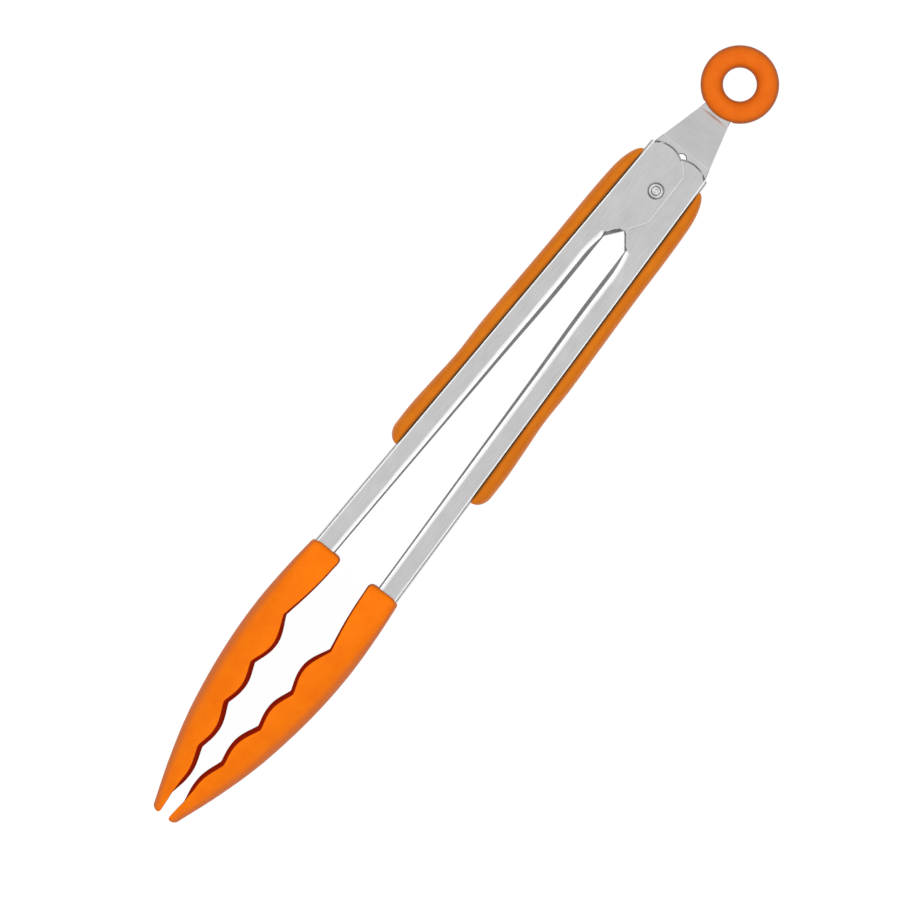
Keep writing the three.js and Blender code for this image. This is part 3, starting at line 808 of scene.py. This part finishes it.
def headSection(share, reach):
    # upper half of the section, from the middle of the back round the lip to the scoop's floor
    size = headSize
    back = armSize["halfWidth"] + backCurve(share)
    lip = lipAt(share)
    depth = size["depth"] * heightCurve(share)
    rounded = smoothStep(share, 0, size["roundFrom"])
    swell = lobeAt(share)[2]
    outerLip = lip + rimCurve(share)
    sideX = -back + (back - outerLip) * size["sideIn"] * rounded
    outer = [
        (-back, 0.0), (-back, depth * lerp(*size["backHandle"], rounded)),
        (sideX, depth * lerp(*size["sideHandle"], rounded)), (-outerLip, depth),
    ]
    (neckSolid, neckRun), (tipSolid, tipRun) = size["scoopEnds"]
    fromNeck = max((reach - headStart - neckSolid) / neckRun, 0)
    fromTip = max((size["tipReach"] - tipSolid - reach) / tipRun, 0)
    scoop = math.sin(min(fromNeck, fromTip, 1) * math.pi / 2)
    shallow = lip + size["shallowest"]
    floor = lerp(shallow, max(back - size["floor"], shallow), scoop)
    deep = depth - min(size["rimDrop"], depth * size["slimDrop"])
    wallIn, wallUp = size["wallHandle"]
    inner = [
        (-floor, 0.0), (-floor, deep * lerp(*size["floorHandle"], rounded)),
        (-floor + (floor - lip) * wallIn, deep * wallUp), (-lip, deep),
    ]

    def along(points, t):
        s = 1 - t
        parts = (s ** 3, 3 * s * s * t, 3 * s * t * t, t ** 3)
        return Vector([sum(k * point[axis] for k, point in zip(parts, points)) for axis in (0, 1)])

    corner, innerCorner = along(outer, 1), along(inner, 1)
    across = (innerCorner - corner).normalized()
    arriving = (corner - along(outer, size["lipFrom"])).normalized()
    leaving = (along(inner, size["lipFrom"]) - innerCorner).normalized()
    r = size["lipRound"]
    shares = evenSteps(0, 1, 19)
    section = [along(outer, t * size["lipFrom"]) for t in shares]
    for point, t in zip(section, shares):
        point.y += size["flute"] * (swell - 0.5) * t ** 4 * rounded
    section[-1] = corner - arriving * r
    section += [corner + (across - arriving) * 0.3 * r, corner + across * r]
    section += [(corner + innerCorner) / 2, innerCorner - across * r]
    section += [innerCorner + (leaving - across) * 0.3 * r]
    section += [along(inner, t) for t in evenSteps(0.94, 0, 11)]

    # the whole section draws in at the rounded neck and tip
    inset = 0.0
    for gap, radius in ((reach - headStart, size["neckRound"]), (size["tipReach"] - reach, size["tipRound"])):
        left = max(radius - gap, 0)
        inset = max(inset, radius - math.sqrt(max(radius ** 2 - left ** 2, 0)))
    middle = -(back + lip) / 2
    half = (back - lip) / 2
    return [
        (middle + (p.x - middle) * (1 - inset / half), p.y * (1 - inset / depth)) for p in section
    ]


def headPiece(name, side):
    size = headSize
    sections = {}

    def fit(number, share):
        key = round(share, 6)
        reach = headStart + size["length"] * crowdedShare(share, size["crowding"])
        if key not in sections:
            sections[key] = headSection((reach - headStart) / size["length"], reach)
        spot, upper = upperSpot(number, *size["spots"], size["around"])
        x, z = sections[key][spot - size["spots"][0]]
        return (side * -x, -reach, z if upper else -z)

    def rimShade(number, share):
        # painted shade: the lip's end face is darkened to deep red as if in shadow, fading into the scoop
        spot = upperSpot(number, *size["spots"], size["around"])[0]
        rimStart, rimEnd = size["rimSpots"]
        width = rimCurve(crowdedShare(share, size["crowding"]))
        narrow = smoothStep(width, *size["rimNarrow"])
        return narrow * (0 if spot < rimStart else max(1 - max(spot - rimEnd, 0) / size["rimFade"], 0))

    piece, spots = fittedBar(name, size["around"], size["cuts"], fit)
    paintShade(piece, [rimShade(*spot) for spot in spots])
    standInPlace(piece, side * closedTurn)
    smoothAll(piece, 60)
    return piece


print("outlines ready")

# Assembly
for side, word, innerArm in ((-1, "Left", False), (1, "Right", True)):
    body = "arm_" + word.lower()
    arm = armPiece("arm" + word, side, word.lower(), innerArm)
    steel = brushedSteel("brushedSteel" + word, steelLook, -side * closedTurn)
    dress(arm, steel, body, body)
    print("arm ready", word)
    grip = gripPiece("grip" + word, side, innerArm)
    dress(grip, softSilicone("gripRubber" + word, gripLook), body, "grip_" + word.lower())
    print("grip ready", word)
    head = headPiece("head" + word, side)
    dress(head, softSilicone("headSilicone" + word, headLook), body, "head_" + word.lower())
    print("head ready", word)


# Pivot

rivetSize = {
    "shank": 1.25, "under": 10.5,
    "crown": [
        (0, 0.88), (0.3, 0.85), (0.5, 0.75), (0.68, 0.6), (0.82, 0.55), (1.05, 0.55), (1.28, 0.66),
        (1.48, 0.86), (1.65, 0.98), (1.85, 1.04), (2.05, 1.02), (2.22, 0.88), (2.42, 0.62), (2.62, 0.34),
        (2.75, 0.12), (2.72, 0),
    ],
}
under = rivetSize["under"]
half = [(out, under + up) for out, up in rivetSize["crown"]] + [(rivetSize["shank"], under)]
rivet = turnedPiece("pivotRivet", half + [(out, -along) for out, along in reversed(half)])
standInPlace(rivet)
smoothAll(rivet, 40)
dress(rivet, brushedSteel("rivetSteel", rivetLook), "pivot", "pivot_rivet")

sleeveSize = {"bore": 1.45, "radius": 2.3, "half": 7.4, "chamfer": 0.25}
bore, radius, halfLength, chamfer = (sleeveSize[key] for key in ("bore", "radius", "half", "chamfer"))
sleeve = turnedPiece("pivotSleeve", [
    (bore, -halfLength), (radius - chamfer, -halfLength), (radius, chamfer - halfLength),
    (radius, halfLength - chamfer), (radius - chamfer, halfLength), (bore, halfLength),
])
standInPlace(sleeve)
smoothAll(sleeve, 40)
dress(sleeve, brushedSteel("sleeveSteel", rivetLook), "pivot", "pivot_sleeve")
print("rivet and sleeve ready")


# Torsion spring, in an upper and a lower half

springSize = {
    "wire": 1.4, "coil": 3.5, "turns": 4, "pitch": 1.75, "legReach": 24, "seat": 0.3,
    "pointsPerTurn": 40, "legSteps": 12, "roundness": 6,
    "blendShare": 0.93,  # share of the half coil's rise
}


def springPath():
    size = springSize
    wall = armSize["halfWidth"] - armSize["sheet"]
    wallX = wall / math.cos(closedTurn) + size["legReach"] * math.tan(closedTurn)
    foot = Vector((wallX - size["wire"] / 2 - size["seat"], -size["legReach"]))
    lean = math.atan2(foot.y, foot.x) + math.acos(size["coil"] / foot.length)
    turn = 2 * math.pi * size["turns"] + math.pi - 2 * lean
    height = size["pitch"] * turn / (2 * math.pi)
    steps = round(size["pointsPerTurn"] * turn / (4 * math.pi))
    points = []
    for share in evenSteps(0.5, 1, steps):
        angle = lean + turn * share
        points.append(Vector((
            size["coil"] * math.cos(angle), size["coil"] * math.sin(angle), height * (share - 0.5),
        )))
    leg = Vector((-math.sin(lean + turn), math.cos(lean + turn), 0))
    legLength = (Vector((math.cos(lean), math.sin(lean))) * size["coil"] - foot).length
    points += [points[-1] + leg * step for step in evenSteps(0, legLength, size["legSteps"])[1:]]
    return points, height / 2


def springPiece(name, side):
    points, halfRise = springPath()
    # the lower half is the upper one turned over about the long axis
    if side > 0:
        points = [Vector((-p.x, p.y, -p.z)) for p in points]
    bpy.ops.curve.primitive_nurbs_path_add()
    line = bpy.context.object
    line.name = name
    line.data.splines.clear()
    spline = line.data.splines.new("POLY")
    spline.points.add(len(points) - 1)
    for point, place in zip(spline.points, points):
        point.co = (*place, 1)
    line.data.bevel_depth = springSize["wire"] / 2
    line.data.bevel_resolution = springSize["roundness"]
    line.data.use_fill_caps = True
    bpy.ops.object.convert(target="MESH")
    piece = newPiece(name)
    bpy.ops.object.mode_set(mode="EDIT")
    bpy.ops.mesh.select_all(action="SELECT")
    bpy.ops.mesh.remove_doubles(threshold=0.002)
    faceOutwards()
    bpy.ops.object.mode_set(mode="OBJECT")
    standInPlace(piece)
    smoothAll(piece, 50)
    rise = halfRise * mm * springSize["blendShare"] * -side
    dress(piece, springSteel, None, "torsion_spring")
    pivot.z + rise
    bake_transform(piece)


springSteel = brushedSteel("springSteel", springLook)
springPiece("springUpper", -1)
springPiece("springLower", 1)
print("spring ready")


# Lock tab and pull ring

tabSize = {
    "sheet": 0.8, "cheek": 8.4, "bottom": -4.6, "shoulder": 10.0, "shoulderHeight": 12.5,
    "neck": 5.33, "neckHeight": 30.4, "fold": (15.6, 30.1), "foldRound": 0.12, "top": 35.6,
    "corner": 2, "slot": 1.45, "slotLengths": (13.0, 14.2), "cutEdge": 0.24,
    "lowStations": (2.0, 7.0), "slopeStations": (21, 25),
    "eyeGap": 0.01,  # half the gap left between the cheeks where they lie together
}


def tabHalfWidth(height):
    size = tabSize
    if height > size["shoulderHeight"]:
        t = (height - size["shoulderHeight"]) / (size["neckHeight"] - size["shoulderHeight"])
        return lerp(size["shoulder"], size["neck"], t)
    left = min(max((size["bottom"] + size["corner"] - height) / size["corner"], 0), 1)
    return size["shoulder"] - size["corner"] * (1 - math.sqrt(1 - left * left))


def tabRise(height):
    # outside of the upper cheek above the middle plane
    size = tabSize
    first, last = size["fold"]
    slope = (size["cheek"] - size["sheet"]) / (last - first)

    def ramp(distance):
        c = size["foldRound"]
        if distance < -c:
            return 0
        return distance if distance > c else (distance + c) ** 2 / (4 * c)

    return size["cheek"] - slope * (ramp(height - first) - ramp(height - last))


def tabPiece():
    size = tabSize
    heights = [size["bottom"] + size["corner"] * (1 - math.cos(t)) for t in evenSteps(0, math.pi / 2, 6)]
    lowFold, highFold = ([y - size["foldRound"], y + size["foldRound"]] for y in size["fold"])
    heights += [*size["lowStations"], size["shoulderHeight"], *lowFold]
    heights += [*size["slopeStations"], *highFold, size["top"]]
    bpy.ops.mesh.primitive_plane_add(size=2)
    piece = newPiece("lockTab")
    bpy.ops.object.mode_set(mode="EDIT")
    bpy.ops.mesh.select_all(action="SELECT")

    def onStation(co, height):
        across = math.copysign(tabHalfWidth(height), co.x)
        return Vector((across, height, tabRise(height)))

    settle(lambda co: onStation(co, heights[0] if co.y < 0 else heights[1]))
    pick("edges", lambda edge: all(v.co.y > heights[1] - 0.001 for v in edge.verts))
    for height in heights[2:]:
        pullEdges(y=0.01)
        settle(lambda co: onStation(co, height))
    bpy.ops.mesh.select_all(action="SELECT")
    bpy.ops.mesh.normals_make_consistent(inside=False)
    if bmesh.from_edit_mesh(piece.data).faces[0].normal.z < 0:
        bpy.ops.mesh.flip_normals()
    bpy.ops.object.mode_set(mode="OBJECT")
    modify(piece, "SOLIDIFY", thickness=size["sheet"] - size["eyeGap"], offset=-1, use_even_offset=True)
    bpy.ops.object.duplicate()
    below = bpy.context.object
    bpy.ops.object.mode_set(mode="EDIT")
    bpy.ops.mesh.select_all(action="SELECT")
    bpy.ops.transform.resize(value=(1, 1, -1), center_override=(0, 0, 0))
    bpy.ops.mesh.flip_normals()
    bpy.ops.object.mode_set(mode="OBJECT")
    joinInto(piece, [below])
    for height, length in zip((size["cheek"], -size["cheek"]), size["slotLengths"]):
        bpy.ops.mesh.primitive_cylinder_add(
            vertices=48, radius=size["slot"], depth=6, location=(0, 0, height),
        )
        slot = newPiece("slotCutter")
        bpy.ops.object.mode_set(mode="EDIT")
        pick("verts", lambda v: v.co.y > 0.001)
        bpy.ops.transform.translate(value=(0, length, 0))
        bpy.ops.object.mode_set(mode="OBJECT")
        cutWith(piece, slot)
    makeActive(piece)
    finishSheet(piece, size["cutEdge"], 1, clamp=False)
    return piece


tab = tabPiece()
dress(tab, brushedSteel("tabSteel", tabLook), "lock", "lock_tab")
print("lock tab ready")

ringSize = {
    "height": 42.9, "radius": 8.8, "section": 3.5, "partingLine": 1.006,
    "pocket": (5.63, 5, 1.1), "pocketAbove": 0.4,  # half sizes, and room above the tab's top
}


def ringPiece():
    size = ringSize
    bpy.ops.mesh.primitive_torus_add(
        major_radius=size["radius"], minor_radius=size["section"], major_segments=112, minor_segments=40,
    )
    piece = newPiece("pullRing")
    bpy.ops.object.mode_set(mode="EDIT")
    outside = size["radius"] + size["section"] - 0.001
    pick("verts", lambda v: math.hypot(v.co.x, v.co.y) > outside)
    bpy.ops.transform.resize(value=(size["partingLine"], size["partingLine"], 1), center_override=(0, 0, 0))
    bpy.ops.mesh.select_all(action="SELECT")
    bpy.ops.transform.translate(value=(0, size["height"], 0))
    bpy.ops.object.mode_set(mode="OBJECT")
    middle = tabSize["top"] + size["pocketAbove"] - size["pocket"][1]
    bpy.ops.mesh.primitive_cube_add(size=2, location=(0, middle, 0), scale=size["pocket"])
    cutWith(piece, newPiece("tabPocket"))
    standInPlace(piece)
    smoothAll(piece, 45)
    return piece


ring = ringPiece()
dress(ring, softSilicone("ringSilicone", ringLook), "lock", "pull_ring")
print("pull ring ready")

# Cores stay as they are, inside the heads
nylon = softSilicone("coreNylon", nylonLook)
for node in ("head_core_left", "head_core_right"):
    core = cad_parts[node]
    core.data.materials.clear()
    core.data.materials.append(nylon)


# Floor, light and surroundings

stageLook = {
    "floorSize": 24, "floor": (0.05, 0.05, 0.05, 1), "floorGlow": 0.98,
    "sky": [
        (0.0, 0.05), (0.5, 0.04), (0.64, 0.04), (0.71, 0.6), (0.77, 1.02), (0.86, 1.2), (0.93, 1.25),
        (0.985, 0.95), (1.0, 0.88),
    ],
    "skyStrength": 1.0,
}
bpy.ops.mesh.primitive_plane_add(size=stageLook["floorSize"])
floor = newPiece("studioFloor")
palePaint = newMaterial(
    "palePaint", Roughness=0.9, Specular_IOR_Level=0.0, Base_Color=stageLook["floor"],
    Emission_Color=(1, 1, 1, 1), Emission_Strength=stageLook["floorGlow"],
)[0]
floor.data.materials.append(palePaint)

world = bpy.data.worlds.new("softStudio")
bpy.context.scene.world = world
world.use_nodes = True
sky = Wire(world.node_tree)
direction = sky.make("TexCoord", output=0)
height = sky.make("SeparateXYZ", {}, {0: direction}, 2) * 0.5 + 0.5
shades = [(place, (value, value, value)) for place, value in stageLook["sky"]]
glow = sky.make("ValToRGB", {"stops": shades}, {0: height})
background = world.node_tree.nodes["Background"]
world.node_tree.links.new(glow.socket, background.inputs["Color"])
background.inputs["Strength"].default_value = stageLook["skyStrength"]

lampLook = {"out": 0.9, "height": 0.8, "size": (1.6, 0.35), "power": 2}
for name, side in (("leftStrip", -1), ("rightStrip", 1)):
    place = (side * lampLook["out"], 0, lampLook["height"])
    bpy.ops.object.light_add(type="AREA", location=place)
    light = bpy.context.object
    light.name = name
    light.data.shape = "RECTANGLE"
    light.data.size, light.data.size_y = lampLook["size"]
    light.data.energy = lampLook["power"]
    light.rotation_euler = Vector(place).to_track_quat("Z", "Y").to_euler()
bpy.context.scene.view_settings.view_transform = "Standard"
print("stage ready")
